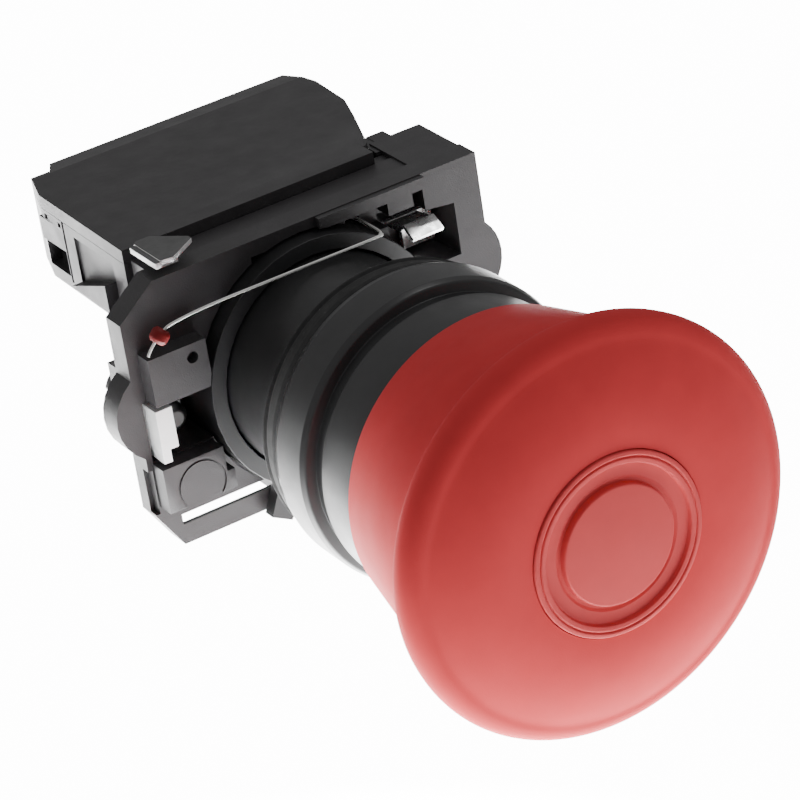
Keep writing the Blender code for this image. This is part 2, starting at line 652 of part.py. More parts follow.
for make in (bezel_ring, panel_gasket, stem_seal, head_barrel, mushroom_cap, face_insert, stem, cap_screw,
             pusher_plate, stem_circlip, return_spring, collar_body, lock_ring, lock_wire, lock_wire_bead,
             clamp_plate, fixing_screw, grip_clip, block_latch, contact_housing, contact_cover,
             contact_plunger, moving_bridge, bridge_spring):
    make()
for name in ("left", "right"):
    for make in (detent_latch, latch_spring, fixed_contact, terminal_clamp, terminal_screw):
        make(name)
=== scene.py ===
"""Looks of a push-pull emergency stop button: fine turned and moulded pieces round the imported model.

Sizes are in millimetres in an operator frame, U right, V up and A forward from the panel's face, and
become world metres in at(): the button's axis is the world's Y and the button faces -Y.
"""
import json
import math

import bmesh
import bpy
from mathutils import Matrix, Vector


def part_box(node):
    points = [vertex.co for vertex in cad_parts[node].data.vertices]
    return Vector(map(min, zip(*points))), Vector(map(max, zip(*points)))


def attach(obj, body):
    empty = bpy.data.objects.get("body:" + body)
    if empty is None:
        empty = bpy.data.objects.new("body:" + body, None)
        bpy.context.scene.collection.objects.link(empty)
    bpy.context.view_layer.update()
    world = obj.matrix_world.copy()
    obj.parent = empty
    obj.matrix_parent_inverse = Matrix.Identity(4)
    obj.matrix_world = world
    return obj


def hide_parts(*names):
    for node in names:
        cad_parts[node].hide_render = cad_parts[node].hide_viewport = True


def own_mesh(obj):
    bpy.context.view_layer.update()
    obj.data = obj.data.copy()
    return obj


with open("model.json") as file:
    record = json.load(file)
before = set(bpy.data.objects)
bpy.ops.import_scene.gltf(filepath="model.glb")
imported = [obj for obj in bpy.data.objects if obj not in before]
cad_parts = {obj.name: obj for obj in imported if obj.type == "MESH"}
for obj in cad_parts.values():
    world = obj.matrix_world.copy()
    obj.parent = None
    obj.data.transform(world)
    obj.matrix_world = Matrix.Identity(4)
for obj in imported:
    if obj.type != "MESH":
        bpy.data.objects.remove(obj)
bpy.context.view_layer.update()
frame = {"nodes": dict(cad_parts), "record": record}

MM = 0.001
WELD = 0.000002                # metres: points nearer than this are one point
ON_AXIS = 1e-6                 # millimetres: a radius below this is a point on the axis
TURN_STEPS = 160               # steps round a large turned piece


def at(u, v, a):
    """A point of the operator frame, in world metres."""
    return Vector((u, -a, v)) * MM


def span(node):
    """The CAD node's lowest and highest U, V and A, in millimetres."""
    low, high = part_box(node)
    return ((low.x / MM, high.x / MM), (low.z / MM, high.z / MM), (-high.y / MM, -low.y / MM))


# ---------------------------------------------------------------- camera, lights, floor

CAMERA_PLACE = (-0.16079, -0.30552, 0.18282)
CAMERA_RIGHT = (0.83823, -0.52685, -0.14067)
CAMERA_UP = (0.35634, 0.33394, 0.87264)
CAMERA_LENS = 188.83           # millimetres, on a 36 mm sensor
SENSOR_WIDTH = 36
CLIP_NEAR, CLIP_FAR = 0.01, 20
WORLD_STRENGTH = 0.42
FLOOR_Z, FLOOR_HALF = -0.12, 3         # metres
GLOW_SPOTS = [                 # each soft spot of the floor's glow: its centre, reach and strength
    ((0.13, 0.28), (0.22, 0.36), 14.0),
    ((-0.02, 0.03), (0.05, 0.17), 26.0),
    ((-0.22, 0.02), (0.04, 0.16), 5.0),
    ((0.10, -0.22), (0.04, 0.16), 6.0),
    ((0.26, 0.00), (0.04, 0.16), 3.0)]
LAMPS = [                      # name, place, target, size in metres, power in watts
    ("low_left", (-0.49, 0.49, -0.073), (0, 0, 0), 0.16, 0.35),
    ("top", (0.219, 0.006, 0.464), (0.013, 0.013, 0.009), 0.09, 0.3)]


def add_camera():
    data = bpy.data.cameras.new("camera")
    data.lens = CAMERA_LENS
    data.sensor_width = SENSOR_WIDTH
    data.clip_start, data.clip_end = CLIP_NEAR, CLIP_FAR
    camera = bpy.data.objects.new("camera", data)
    bpy.context.scene.collection.objects.link(camera)
    right, up = Vector(CAMERA_RIGHT), Vector(CAMERA_UP)
    turn = Matrix((right, up, right.cross(up))).transposed().to_4x4()
    camera.matrix_world = Matrix.Translation(CAMERA_PLACE) @ turn
    bpy.context.scene.camera = camera


def add_area_light(name, place, target, size, power):
    data = bpy.data.lights.new(name, "AREA")
    data.shape = "DISK"
    data.size = size
    data.energy = power
    light = bpy.data.objects.new(name, data)
    bpy.context.scene.collection.objects.link(light)
    light.location = place
    light.rotation_euler = (Vector(target) - Vector(place)).to_track_quat("-Z", "Y").to_euler()
    light.visible_camera = False


def add_world(strength):
    world = bpy.data.worlds.new("studio")
    world.use_nodes = True
    background = world.node_tree.nodes["Background"]
    background.inputs["Color"].default_value = (1, 1, 1, 1)
    background.inputs["Strength"].default_value = strength
    bpy.context.scene.world = world


def add_floor():
    """A plain pale sheet that glows in soft spots, like a light table."""
    bm = bmesh.new()
    bmesh.ops.create_grid(bm, x_segments=8, y_segments=8, size=FLOOR_HALF)
    mesh = bpy.data.meshes.new("floor")
    bm.to_mesh(mesh)
    bm.free()
    floor = bpy.data.objects.new("floor", mesh)
    bpy.context.scene.collection.objects.link(floor)
    floor.location = (0, 0, FLOOR_Z)
    finish = Finish("pale_floor", (0.9, 0.9, 0.9), 0.6)
    finish.vary_colour(0.02, 40)
    strength = None
    for centre, reach, bright in GLOW_SPOTS:
        glow = finish.node("ShaderNodeVectorMath", operation="DISTANCE")
        glow.inputs[1].default_value = (*centre, 0)
        finish.tree.links.new(finish.place, glow.inputs[0])
        spot = finish.spread(glow.outputs["Value"], bright, 0, *reach, "SMOOTHSTEP")
        if strength:
            total = finish.node("ShaderNodeMath", operation="MAXIMUM")
            finish.tree.links.new(strength, total.inputs[0])
            finish.tree.links.new(spot, total.inputs[1])
            spot = total.outputs["Value"]
        strength = spot
    finish.tree.links.new(strength, finish.shader.inputs["Emission Strength"])
    finish.shader.inputs["Emission Color"].default_value = (1, 1, 1, 1)
    mesh.materials.append(finish.material)


# ---------------------------------------------------------------- materials

class Finish:
    """A Principled material that is built up with noise and grain, all in object space."""

    def __init__(self, name, colour, roughness, metallic=0.0):
        self.material = bpy.data.materials.new(name)
        self.material.use_nodes = True
        self.tree = self.material.node_tree
        self.shader = self.tree.nodes["Principled BSDF"]
        self.colour = colour
        self.roughness = roughness
        self.shader.inputs["Base Color"].default_value = (*colour, 1)
        self.shader.inputs["Roughness"].default_value = roughness
        self.shader.inputs["Metallic"].default_value = metallic
        self.place = self.tree.nodes.new("ShaderNodeTexCoord").outputs["Object"]
        self.normal = None

    def node(self, kind, **values):
        made = self.tree.nodes.new(kind)
        for key, value in values.items():
            if key in made.inputs:
                made.inputs[key].default_value = value
            else:
                setattr(made, key, value)
        return made

    def noise(self, scale, detail=3.0, stretch=None):
        noise = self.node("ShaderNodeTexNoise", Scale=scale, Detail=detail)
        source = self.place
        if stretch:
            mapping = self.node("ShaderNodeMapping", Scale=stretch)
            self.tree.links.new(source, mapping.inputs["Vector"])
            source = mapping.outputs["Vector"]
        self.tree.links.new(source, noise.inputs["Vector"])
        return noise.outputs["Fac"]

    def spread(self, factor, low, high, start=0.3, stop=0.7, blend="LINEAR"):
        """Maps a factor to a range of values."""
        made = self.node("ShaderNodeMapRange", interpolation_type=blend)
        made.inputs["From Min"].default_value = start
        made.inputs["From Max"].default_value = stop
        made.inputs["To Min"].default_value = low
        made.inputs["To Max"].default_value = high
        self.tree.links.new(factor, made.inputs["Value"])
        return made.outputs["Result"]

    def vary_colour(self, amount, scale, tint=None):
        """Mottles the colour a little, between a darker and a lighter tone."""
        ramp = self.node("ShaderNodeValToRGB")
        darker = [c * (1 - amount) for c in self.colour]
        lighter = [min(1, c * (1 + amount)) for c in (tint or self.colour)]
        ramp.color_ramp.elements[0].position, ramp.color_ramp.elements[1].position = 0.3, 0.7
        ramp.color_ramp.elements[0].color = (*darker, 1)
        ramp.color_ramp.elements[1].color = (*lighter, 1)
        self.tree.links.new(self.noise(scale), ramp.inputs["Fac"])
        self.tree.links.new(ramp.outputs["Color"], self.shader.inputs["Base Color"])
        return self

    def vary_roughness(self, amount, scale, stretch=None):
        value = self.spread(self.noise(scale, 4, stretch), self.roughness - amount, self.roughness + amount)
        self.tree.links.new(value, self.shader.inputs["Roughness"])
        return self

    def grain(self, scale, depth, detail=2.0, stretch=None):
        """Adds a bump from noise; depth is in metres."""
        bump = self.node("ShaderNodeBump", Strength=1.0, Distance=depth)
        self.tree.links.new(self.noise(scale, detail, stretch), bump.inputs["Height"])
        if self.normal:
            self.tree.links.new(self.normal, bump.inputs["Normal"])
        self.normal = bump.outputs["Normal"]
        self.tree.links.new(self.normal, self.shader.inputs["Normal"])
        return self


def plastic(name, colour, roughness, texture_depth=0.00002, gloss=0.5, mottle=0.12):
    """Spark-eroded moulded plastic: fine even grain, faint flow and handling marks."""
    finish = Finish(name, colour, roughness)
    finish.shader.inputs["Specular IOR Level"].default_value = gloss
    finish.vary_colour(mottle, 260).vary_roughness(0.04, 420)
    finish.grain(9000, texture_depth).grain(700, texture_depth * 1.2, 1.0)
    return finish.material


def rubber(name):
    finish = Finish(name, (0.012, 0.012, 0.012), 0.78)
    finish.vary_colour(0.3, 500).vary_roughness(0.08, 900).grain(6000, 0.00003)
    return finish.material


def metal(name, colour, roughness, stretch=(1, 1, 1), metallic=1.0):
    """Plated or rolled metal with a fine grain, drawn out along one way, and a clouded sheen."""
    finish = Finish(name, colour, roughness, metallic)
    finish.vary_colour(0.08, 350).vary_roughness(0.08, 1200, stretch)
    finish.grain(5000, 0.000006, 2.0, stretch)
    return finish.material


RED = plastic("red_moulded", (0.57, 0.046, 0.049), 0.68, 0.00001, 0.06, 0.035)
RED_BEAD = plastic("red_bead_moulded", (0.15, 0.008, 0.008), 0.5, 0.000005, 0.2)
RED_INSERT = plastic("red_insert_moulded", (0.58, 0.058, 0.060), 0.58, 0.000008, 0.12, 0.035)
BLACK = plastic("black_moulded", (0.030, 0.028, 0.030), 0.46)
BLACK_SATIN = plastic("black_bezel", (0.020, 0.020, 0.021), 0.36, 0.000008)
WHITE = plastic("white_acetal", (0.70, 0.69, 0.65), 0.4, 0.000008)
RUBBER = rubber("black_nitrile")
STEEL = metal("zinc_plate", (0.80, 0.80, 0.82), 0.26, (1, 6, 1))
# A dark steel that paints shade: on the latch's flat top and on the fixing screw in the shaded bay.
SHADED_STEEL = metal("painted_shade_steel", (0.14, 0.14, 0.14), 0.4)
# Bright steel whose near-white diffuse part paints the glint on the latch's bent lip and on the clamp plate.
GLINT_STEEL = metal("painted_glint_steel", (0.95, 0.95, 0.94), 0.5, metallic=0.5)
CLIP_STEEL = metal("polished_clip_steel", (0.93, 0.93, 0.92), 0.3, metallic=0.8)
BRIGHT_WIRE = metal("bright_wire", (0.72, 0.72, 0.70), 0.5, metallic=0.4)
SPRING = metal("spring_wire", (0.62, 0.62, 0.63), 0.3)
BRASS = metal("rolled_brass", (0.80, 0.60, 0.28), 0.28, (6, 1, 1))


# ---------------------------------------------------------------- mesh helpers

def new_piece(name, bm, material, smooth_angle=40):
    mesh = bpy.data.meshes.new(name)
    bmesh.ops.recalc_face_normals(bm, faces=bm.faces)
    bm.to_mesh(mesh)
    bm.free()
    mesh.materials.append(material)
    mesh.shade_smooth()
    mesh.set_sharp_from_angle(angle=math.radians(smooth_angle))
    piece = bpy.data.objects.new(name, mesh)
    bpy.context.scene.collection.objects.link(piece)
    return piece


def rounded(points, closed=True, steps=4):
    """Rounds the corners of a profile: a point is (r, a) or (r, a, corner radius)."""
    count = len(points)
    result = []
    for i, point in enumerate(points):
        here = Vector(point[:2])
        radius = point[2] if len(point) > 2 else 0
        if not radius or (not closed and i in (0, count - 1)):
            result.append(here)
            continue
        back = Vector(points[i - 1][:2]) - here
        ahead = Vector(points[(i + 1) % count][:2]) - here
        turn = back.angle(ahead)
        reach = min(radius / math.tan(turn / 2), back.length * 0.49, ahead.length * 0.49)
        start, stop = here + back.normalized() * reach, here + ahead.normalized() * reach
        for k in range(steps + 1):
            t = k / steps
            result.append(start * (1 - t) ** 2 + here * 2 * t * (1 - t) + stop * t ** 2)
    return [tuple(p) for p in result]


def circle(bm, centre, radius, a, steps):
    """The vertices of a circle about the A axis, or about a line beside it."""
    return [bm.verts.new(at(centre[0] + radius * math.cos(2 * math.pi * i / steps),
                            centre[1] + radius * math.sin(2 * math.pi * i / steps), a))
            for i in range(steps)]


def turned(name, profile, material):
    """Turns (radius, A) points about the A axis; a profile that ends on the axis gives a solid."""
    bm = bmesh.new()
    solid = profile[0][0] < ON_AXIS and profile[-1][0] < ON_AXIS
    rings = []
    for r, a in profile:
        if r < ON_AXIS:
            rings.append([bm.verts.new(at(0, 0, a))])
            continue
        rings.append(circle(bm, (0, 0), r, a, TURN_STEPS))
    pairs = list(zip(rings, rings[1:] if solid else rings[1:] + rings[:1]))
    for low, high in pairs:
        for i in range(TURN_STEPS):
            j = (i + 1) % TURN_STEPS
            corners = [low[i % len(low)], low[j % len(low)], high[j % len(high)], high[i % len(high)]]
            corners = list(dict.fromkeys(corners))
            if len(corners) > 2:
                bm.faces.new(corners)
    return new_piece(name, bm, material)


def boxes(*spans):
    """One mesh of separate blocks, each given as ((u, u), (v, v), (a, a))."""
    bm = bmesh.new()
    for u, v, a in spans:
        low, high = at(u[0], v[0], a[1]), at(u[1], v[1], a[0])
        made = bmesh.ops.create_cube(bm, size=1)["verts"]
        for vert in made:
            vert.co = Vector([(l + h) / 2 + c * (h - l) for c, l, h in zip(vert.co, low, high)])
    return bm


def tool(bm):
    mesh = bpy.data.meshes.new("tool")
    bm.to_mesh(mesh)
    bm.free()
    obj = bpy.data.objects.new("tool", mesh)
    bpy.context.scene.collection.objects.link(obj)
    return obj


def bake(obj):
    """Applies the object's modifiers to its mesh."""
    graph = bpy.context.evaluated_depsgraph_get()
    mesh = bpy.data.meshes.new_from_object(obj.evaluated_get(graph))
    obj.modifiers.clear()
    obj.data = mesh


def boolean(obj, bm, operation="DIFFERENCE"):
    other = tool(bm)
    modifier = obj.modifiers.new("cut", "BOOLEAN")
    modifier.operation = operation
    modifier.solver = "EXACT"
    modifier.use_self = True
    modifier.object = other
    bake(obj)
    bpy.data.objects.remove(other, do_unlink=True)


def flatten(obj):
    """Joins the triangles of each flat face again, so that edges can be rounded."""
    bm = bmesh.new()
    bm.from_mesh(obj.data)
    bmesh.ops.remove_doubles(bm, verts=bm.verts, dist=WELD)
    bmesh.ops.dissolve_limit(bm, angle_limit=math.radians(0.6), verts=bm.verts, edges=bm.edges)
    bm.to_mesh(obj.data)
    bm.free()


def even_normals(obj, sharp_angle):
    """Shades a piece smooth, with its large faces kept flat."""
    obj.data.shade_smooth()
    obj.data.set_sharp_from_angle(angle=math.radians(sharp_angle))
    weighted = obj.modifiers.new("weighted", "WEIGHTED_NORMAL")
    weighted.mode = "FACE_AREA"
    weighted.weight = 90
    weighted.keep_sharp = True
    bake(obj)


def round_edges(obj, width, segments=2, angle=28):
    bevel = obj.modifiers.new("round", "BEVEL")
    bevel.width = width * MM
    bevel.segments = segments
    bevel.limit_method = "ANGLE"
    bevel.angle_limit = math.radians(angle)
    bevel.harden_normals = False
    bake(obj)
    even_normals(obj, 50)


def prism(outline, low, high, along):
    """A prism along U from (A, V) points, or along V from (U, A) points."""
    bm = bmesh.new()
    if along == "u":
        ends = [[bm.verts.new(at(u, v, a)) for a, v in outline] for u in (low, high)]
    else:
        ends = [[bm.verts.new(at(u, v, a)) for u, a in outline] for v in (low, high)]
    for end in ends:
        bm.faces.new(end)
    count = len(outline)
    for i in range(count):
        j = (i + 1) % count
        bm.faces.new([ends[0][i], ends[0][j], ends[1][j], ends[1][i]])
    bmesh.ops.recalc_face_normals(bm, faces=bm.faces)
    return bm


def close_seam(piece, old_v, new_v):
    """Lowers the underside of a piece, so that only a fine line shows above the piece below."""
    for vert in piece.data.vertices:
        if abs(vert.co.z - old_v * MM) < 0.2 * MM:
            vert.co.z -= (old_v - new_v) * MM


PAST_BOTH_SIDES = (-40, 40)    # a span of U wider than the part


def moulded(node, material, width, adds=(), cuts=(), bevels=(), segments=2):
    """A fine copy of a CAD node: boxes joined and cut, its ends bevelled, and its edges rounded."""
    source = frame["nodes"][node]
    piece = bpy.data.objects.new(node + "_fine", source.data.copy())
    bpy.context.scene.collection.objects.link(piece)
    piece.data.materials.clear()
    flatten(piece)
    for extra in adds:
        boolean(piece, boxes(extra), "UNION")
    for gone in cuts:
        boolean(piece, boxes(gone))
    for outline in bevels:
        boolean(piece, prism(outline, *PAST_BOTH_SIDES, "u"))
    flatten(piece)
    round_edges(piece, width, segments)
    piece.data.materials.clear()
    piece.data.materials.append(material)
    return piece


def settle(piece, body, node):
    """Puts a finished piece on its body in place of its CAD node."""
    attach(piece, body)
    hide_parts(node)


def body_of(node):
    for body, members in frame["record"]["behaviour"]["bodies"].items():
        if node in members:
            return body
    raise KeyError(node)


# ---------------------------------------------------------------- head

INSERT_GAP = 0.1               # between the insert and the cap round it
RIM_SETBACK = 4.05             # from the cap's face to the middle of its rounded rim
DOME_DROP, DOME_POWER, DOME_STEPS = 2.05, 2.1, 24
RIM_R, RIM_HEIGHT = 2.35, 1.95         # the rim's quarter round, outwards and forwards
CAP_BORE_R, CAP_BOSS_R, CAP_HOLE_R, CAP_SEAT_R = 14.5, 6.0, 2.1, 3.5


def make_cap():
    """The mushroom: dished face, rounded rim, flared skirt, and the hollow round its screw boss."""
    (_, cap_r), _, (skirt_a, face_a) = span("mushroom_cap")
    rim_a = face_a - RIM_SETBACK
    insert_r = span("face_insert")[0][1] + INSERT_GAP
    mouth = [(insert_r, face_a - 0.35), (insert_r + 0.06, face_a - 0.2)]
    dome = [(insert_r + (cap_r - 2.2 - insert_r) * t, face_a - 0.12 - DOME_DROP * t ** DOME_POWER)
            for t in [i / DOME_STEPS for i in range(DOME_STEPS + 1)]]
    edge = [(cap_r - RIM_R + RIM_R * math.sin(math.radians(d)),
             rim_a - 0.15 + RIM_HEIGHT * math.cos(math.radians(d))) for d in range(12, 91, 6)]
    lip = [(cap_r - 0.02, rim_a - 0.5), (cap_r - 0.12, rim_a - 0.95), (cap_r - 0.4, rim_a - 1.3),
           (cap_r - 0.85, rim_a - 1.45)]
    neck = [(cap_r - 1.5, rim_a - 1.75), (cap_r - 1.95, rim_a - 2.4), (cap_r - 2.25, rim_a - 3.4),
            (cap_r - 2.45, rim_a - 4.8), (cap_r - 2.7, rim_a - 6.6)]
    skirt = [(15.32, skirt_a + 0.35), (15.14, skirt_a + 0.08), (15.02, skirt_a)]
    hollow = [(CAP_BORE_R, skirt_a), (CAP_BORE_R, 22.5), (16.0, 27.5), (16.0, 30.5), (14.0, 32.2),
              (CAP_BOSS_R + 1, 32.2), (CAP_BOSS_R, 31.3)]
    boss = [(CAP_BOSS_R, 21.0), (CAP_HOLE_R, 21.0), (CAP_HOLE_R, 32.4), (CAP_SEAT_R, 32.4),
            (CAP_SEAT_R, 34.6), (insert_r, 34.6)]
    cap = turned("mushroom_cap_fine", mouth + dome + edge + lip + neck + skirt + hollow + boss, RED)
    settle(cap, "button", "mushroom_cap")


def make_insert():
    """The disc in the cap's face: a flat centre, a moat round it, and a rim with a fine groove."""
    (_, r), _, (back_a, top_a) = span("face_insert")
    moat_a, rim_a = top_a - 0.47, top_a - 0.06
    profile = rounded([
        (0, top_a), (5.7, top_a - 0.02, 0.2), (5.8, moat_a - 0.15, 0.04), (6.1, moat_a - 0.15, 0.06),
        (6.35, moat_a, 0.12), (7.5, moat_a, 0.08), (7.62, top_a - 0.1, 0.12),
        (8.08, rim_a, 0.2), (8.2, rim_a - 0.18, 0.05), (8.32, rim_a, 0.2),
        (r, top_a - 0.12, 0.15), (r, back_a), (0, back_a)], closed=False)
    settle(turned("face_insert_fine", profile, RED_INSERT), "button", "face_insert")


def make_bezel():
    """The bezel: a front ring, a groove, and the wider flange that seats on the gasket."""
    (_, r), _, (rear_a, front_a) = span("bezel_ring")
    front_r, groove_r, seat_r, lip_r = 14.2, 13.75, 11.3, 8.8
    profile = rounded([
        (lip_r, front_a, 0.2), (front_r, front_a, 0.4), (front_r, 10.45, 0.15), (groove_r, 10.25, 0.1),
        (groove_r, 8.75, 0.1), (r - 0.25, 8.55, 0.35), (r, 7.9, 0.3), (r, 4.0, 0.3), (r - 0.2, rear_a, 0.3),
        (seat_r, rear_a), (seat_r, 13.3), (lip_r, 13.3)])
    settle(turned("bezel_ring_fine", profile, BLACK_SATIN), "head", "bezel_ring")


def make_gasket():
    """The panel gasket, with a sealing lip at its rear edge."""
    (_, r), _, (rear_a, front_a) = span("panel_gasket")
    inner_r = 11.3
    profile = rounded([
        (r - 0.1, front_a, 0.2), (r, front_a - 0.7, 0.2), (r - 0.25, 0.9, 0.2),
        (r - 0.45, rear_a + 0.45, 0.1), (r - 0.2, rear_a + 0.25, 0.1), (r - 0.25, rear_a, 0.1),
        (inner_r, rear_a), (inner_r, front_a)])
    settle(turned("panel_gasket_fine", profile, RUBBER), "head", "panel_gasket")


def make_barrel():
    """The barrel between the gasket and the collar."""
    barrel = moulded("head_barrel", BLACK_SATIN, 0.12, segments=1)
    settle(barrel, "head", "head_barrel")


# ---------------------------------------------------------------- collar

SIDE_SLOT = ((-21, -19.55), (-9.3, -4.6), (-14.6, -10))       # beside the lower left block
BLOCK_NOTCH = ((-12.8, -11), (-6.6, -3.5), (-13.4, -10))      # in that block's inner edge
IMPRINT, IMPRINT_R, IMPRINT_WIDTH, IMPRINT_FLOOR = (-15.6, -6.9), 2.5, 0.22, -11.62
TOWER_FILL_V = 10.2            # the fill closes the gap between the tower and the contact block
TOWER_FILL = [(13.6, -21.4), (13.6, -22.9), (14.45, -25.15), (15.5, -25.15), (15.5, -21.4)]


def make_collar():
    """The collar with rounded edges, a round imprint and a notch on its lower left block."""
    _, (_, top), _ = span("collar_body")
    collar = moulded("collar_body", BLACK, 0.22, cuts=[SIDE_SLOT, BLOCK_NOTCH])
    boolean(collar, ring_tool(IMPRINT, IMPRINT_R, IMPRINT_WIDTH, IMPRINT_FLOOR))
    boolean(collar, prism(TOWER_FILL, TOWER_FILL_V, top - 0.25, "v"), "UNION")
    settle(collar, "head", "collar_body")


def ring_tool(centre, radius, width, floor_a, steps=48):
    """A thin tube along A that cuts a round line into a face."""
    bm = bmesh.new()
    rings = []
    for r in (radius - width / 2, radius + width / 2):
        for a in (floor_a, floor_a + 2):
            rings.append(circle(bm, centre, r, a, steps))
    order = [0, 1, 3, 2, 0]
    for low, high in zip(order, order[1:]):
        for i in range(steps):
            j = (i + 1) % steps
            bm.faces.new([rings[low][i], rings[low][j], rings[high][j], rings[high][i]])
    bmesh.ops.recalc_face_normals(bm, faces=bm.faces)
    return bm


def make_lock_ring():
    ring = moulded("lock_ring", BLACK_SATIN, 0.18)
    settle(ring, "lock_ring", "lock_ring")


def tube(name, points, radius, material, steps=16):
    """A round wire along smoothed points, as one closed mesh."""
    curve = bpy.data.curves.new(name, "CURVE")
    curve.dimensions = "3D"
    curve.bevel_depth = radius * MM
    curve.bevel_resolution = steps // 4
    curve.use_fill_caps = True
    spline = curve.splines.new("POLY")
    spline.points.add(len(points) - 1)
    for point, place in zip(spline.points, points):
        point.co = (*at(*place), 1)
    guide = bpy.data.objects.new(name + "_guide", curve)
    bpy.context.scene.collection.objects.link(guide)
    graph = bpy.context.evaluated_depsgraph_get()
    mesh = bpy.data.meshes.new_from_object(guide.evaluated_get(graph))
    bpy.data.objects.remove(guide, do_unlink=True)
    bm = bmesh.new()
    bm.from_mesh(mesh)
    bmesh.ops.remove_doubles(bm, verts=bm.verts, dist=WELD / 4)
    return new_piece(name, bm, material, 60)


def smooth_path(points, steps=6):
    """A Catmull-Rom path through the points."""
    ends = [points[0]] + list(points) + [points[-1]]
    path = []
    for p0, p1, p2, p3 in zip(ends, ends[1:], ends[2:], ends[3:]):
        a, b, c, d = (Vector(p) for p in (p0, p1, p2, p3))
        for k in range(steps):
            t = k / steps
            path.append(tuple(0.5 * (2 * b + (c - a) * t + (2 * a - 5 * b + 4 * c - d) * t ** 2 +
                                     (3 * b - a - 3 * c + d) * t ** 3)))
    return path + [tuple(points[-1])]


LOCK_WIRE_R, LOCK_WIRE_INSET = 0.135, 0.17     # the inset keeps the wire in its CAD node's box


def make_lock_wire():
    """The wire across the barrel: down to its hole on the left, hooked back on the right."""
    (_, hook_u), (_, top), (hook_a, run_a) = span("lock_wire")
    hook_u, top, run_a = (side - LOCK_WIRE_INSET for side in (hook_u, top, run_a))
    points = [(-19.4, 8.9, run_a), (-18.9, 9.6, run_a), (-18.2, 10.3, run_a), (-17.4, 10.85, run_a),
              (-16.2, top - 0.3, run_a), (-12.0, top, run_a), (-4.0, top, run_a), (hook_u - 1.2, top, run_a),
              (hook_u - 0.35, top, run_a - 0.35), (hook_u, top, run_a - 1.2), (hook_u, top, hook_a + 0.2)]
    wire = tube("lock_wire_fine", smooth_path(points), LOCK_WIRE_R, BRIGHT_WIRE)
    settle(wire, "head", "lock_wire")


CLOSED_TURNS = 0.75            # at each end of a spring
COIL_STEPS = 28                # points in one turn


def coil_piece(node, mean_r, wire_r, turns, centre, along):
    """A compression spring whose end turns lie close together, in the CAD spring's length."""
    low, high = span(node)[2] if along == "a" else span(node)[0]
    low, high = low + wire_r + 0.01, high - wire_r - 0.01
    lead = wire_r * 2.05
    free = high - low - 2 * CLOSED_TURNS * lead
    points = []
    for i in range(int((turns + 2 * CLOSED_TURNS) * COIL_STEPS) + 1):
        turn = i / COIL_STEPS
        if turn < CLOSED_TURNS:
            run = low + turn * lead
        elif turn > turns + CLOSED_TURNS:
            run = high - (turns + 2 * CLOSED_TURNS - turn) * lead
        else:
            run = low + CLOSED_TURNS * lead + free * (turn - CLOSED_TURNS) / turns
        p = centre[0] + mean_r * math.cos(2 * math.pi * turn)
        q = centre[1] + mean_r * math.sin(2 * math.pi * turn)
        points.append((p, q, run) if along == "a" else (run, p, q))
    return tube(node + "_fine", points, wire_r, SPRING, 8)


def middle(pair):
    return (pair[0] + pair[1]) / 2


PUSH = 5.5                     # how far the button and the contact's plunger move
LATCH_STROKE = 0.56            # how far each detent latch moves out
SPRINGS = [                    # node, body, joint, stroke, mean radius, wire radius, turns, axis
    ("return_spring", "button", "button_push", PUSH, 5.3, 0.4, 6.5, "a"),
    ("bridge_spring", "plunger", "plunger_push", PUSH, 1.8, 0.25, 4.5, "a"),
    ("latch_spring_left", "latch_left", "detent_left", LATCH_STROKE, 1.0, 0.18, 2.5, "u"),
    ("latch_spring_right", "latch_right", "detent_right", LATCH_STROKE, 1.0, 0.18, 2.5, "u")]


def make_springs():
    """Each spring rides on the piece that it pushes."""
    for node, body, joint, stroke, radius, wire_r, turns, along in SPRINGS:
        u, v, a = span(node)
        centre = (middle(u), middle(v)) if along == "a" else (middle(v), middle(a))
        fit = (max(v) - min(v)) / 2 - wire_r
        spring = coil_piece(node, min(radius, fit), wire_r, turns, centre, along)
        settle(spring, body, node)
        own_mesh(spring)


# ---------------------------------------------------------------- moulded and stamped pieces

COVER_FRONT_EDGE_U, COVER_FRONT_EDGE_A = (-10.6, 12.4), (-22.2, -19.75)
SEAM_GAP = 0.04                # the line that shows between the housing and its cover


def make_block():
    """The contact block's housing and cover, with the rib, dots, slit and hollows of its left end."""
    (left, _), (_, seam_v), (rear_a, _) = span("contact_housing")
    _, (cover_v, top_v), _ = span("contact_cover")
    outside = left - 1
    rib = ((left + 0.25, left + 1.3), (10.2, 12.6), (-37.9, -32.9))
    panel = ((outside, left + 0.45), (7.6, 12.7), (-30.6, -22.4))
    slit = ((outside, left + 0.35), (7.0, 14.0), (-33.0, -32.6))
    dots = [((outside, left + 0.8), (12.7, 13.2), (a - 0.3, a + 0.3)) for a in (-36.4, -33.6)]
    triangle = [(-22.9, 7.9), (-22.9, 10.6), (-30.6, 7.9)]
    housing = moulded("contact_housing", BLACK, 0.14, adds=[rib], cuts=[panel, slit] + dots)
    boolean(housing, prism(triangle, outside, left + 1.8, "u"))
    settle(housing, "head", "contact_housing")

    front_edge = (COVER_FRONT_EDGE_U, (cover_v, top_v), COVER_FRONT_EDGE_A)
    rear_bevel = [(rear_a - 1, top_v + 1), (rear_a - 1, top_v - 0.55), (rear_a, top_v - 0.55),
                  (rear_a + 3.1, top_v - 0.02), (rear_a + 3.1, top_v + 1)]
    cover = moulded("contact_cover", BLACK, 0.12, adds=[front_edge], bevels=[rear_bevel])
    close_seam(cover, cover_v, seam_v + SEAM_GAP)
    settle(cover, "head", "contact_cover")


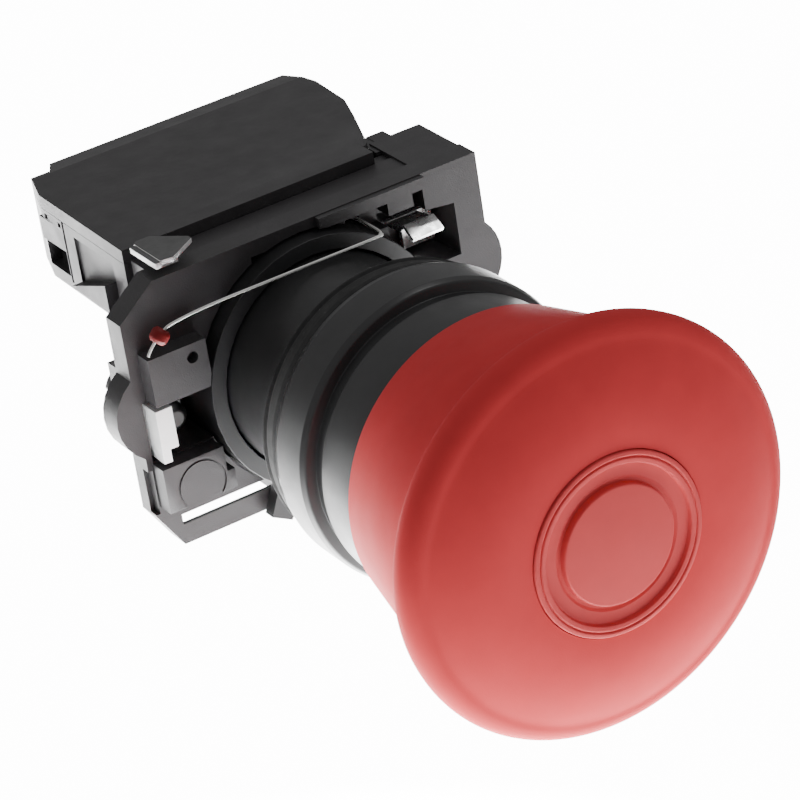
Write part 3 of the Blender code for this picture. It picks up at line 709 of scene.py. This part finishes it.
SMALL_PIECES = [               # node, material, edge radius
    # the latch's and the clamp plate's near-white steel paints their glint
    ("block_latch", GLINT_STEEL, 0.1), ("clamp_plate", GLINT_STEEL, 0.12),
    # the fixing screw's dark steel paints the shade of the bay round it
    ("fixing_screw", SHADED_STEEL, 0.15), ("cap_screw", STEEL, 0.15),
    ("terminal_screw_left", STEEL, 0.12), ("terminal_screw_right", STEEL, 0.12),
    ("terminal_clamp_left", STEEL, 0.1), ("terminal_clamp_right", STEEL, 0.1),
    ("fixed_contact_left", BRASS, 0.08), ("fixed_contact_right", BRASS, 0.08),
    ("moving_bridge", BRASS, 0.1), ("contact_plunger", WHITE, 0.15), ("pusher_plate", WHITE, 0.15),
    ("stem", WHITE, 0.12), ("stem_circlip", SPRING, 0.08), ("detent_latch_left", STEEL, 0.08),
    ("detent_latch_right", STEEL, 0.08), ("stem_seal", RUBBER, 0.12)]
SMALL_CUTS = {"block_latch": [((-16, -14.5), (14, 15.1), (-19, -13))],        # leaves a thin lip, painted bright as lit
              "clamp_plate": [((-18.1, -17), (-4, -2.1), (-13, -11))]}        # leaves a narrow lower end


def make_small_pieces():
    for node, material, width in SMALL_PIECES:
        piece = moulded(node, material, width, cuts=SMALL_CUTS.get(node, []))
        settle(piece, body_of(node), node)
        # the latch's flat top gets painted shade
        if node == "block_latch":
            paint_latch_top_shade(piece)


FACES_UP_OR_DOWN = 0.7         # the least upright part of a face's normal


def paint_latch_top_shade(piece):
    """Paints shade with the dark steel on the latch's flat faces that point up or down; its bent lip keeps
    the steel that is painted bright as lit.
    """
    piece.data.materials.append(SHADED_STEEL)
    for face in piece.data.polygons:
        if abs(face.normal.z) > FACES_UP_OR_DOWN:
            face.material_index = 1


CLIP_OLD_TONGUE = ((11, 15.2), (7, 9), (-17.6, -11))
CLIP_TONGUE_U = (11.5, 14.95)
CLIP_TONGUE = [(-18.0, 8.4), (-15.3, 8.75), (-14.3, 9.25), (-12.7, 8.3), (-12.9, 7.95), (-14.4, 8.8),
               (-15.3, 8.3), (-18.0, 7.95)]


def make_clip():
    """The clip's tongue is bent up and then slopes down to its gripping edge."""
    clip = moulded("grip_clip", CLIP_STEEL, 0.06, cuts=[CLIP_OLD_TONGUE])
    boolean(clip, prism(CLIP_TONGUE, *CLIP_TONGUE_U, "u"), "UNION")
    flatten(clip)
    even_normals(clip, 15)
    settle(clip, "head", "grip_clip")


BEAD_SHIFT = Vector((0.0006, 0, 0.00015))      # along the wire, from the CAD bead
BEAD_SIZE = 0.8


def make_bead():
    bead = moulded("lock_wire_bead", RED_BEAD, 0.25, segments=3)
    centre = at(*(middle(side) for side in span("lock_wire_bead")))
    for vert in bead.data.vertices:
        vert.co = centre + BEAD_SHIFT + (vert.co - centre) * BEAD_SIZE
    settle(bead, "head", "lock_wire_bead")


FINISHES = {"black_plastic": BLACK, "red_plastic": RED, "white_plastic": WHITE, "rubber": RUBBER,
            "zinc_steel": STEEL, "spring_steel": SPRING, "brass": BRASS}

add_world(WORLD_STRENGTH)
add_camera()
add_floor()
make_cap()
make_insert()
make_bezel()
make_gasket()
make_barrel()
make_collar()
make_lock_ring()
make_lock_wire()
make_bead()
make_clip()
make_springs()
make_block()
make_small_pieces()

for part in frame["record"]["subparts"]:
    node = frame["nodes"][part["node"]]
    node.data.materials.clear()
    node.data.materials.append(FINISHES[part["material_slot"]])

for lamp in LAMPS:
    add_area_light(*lamp)
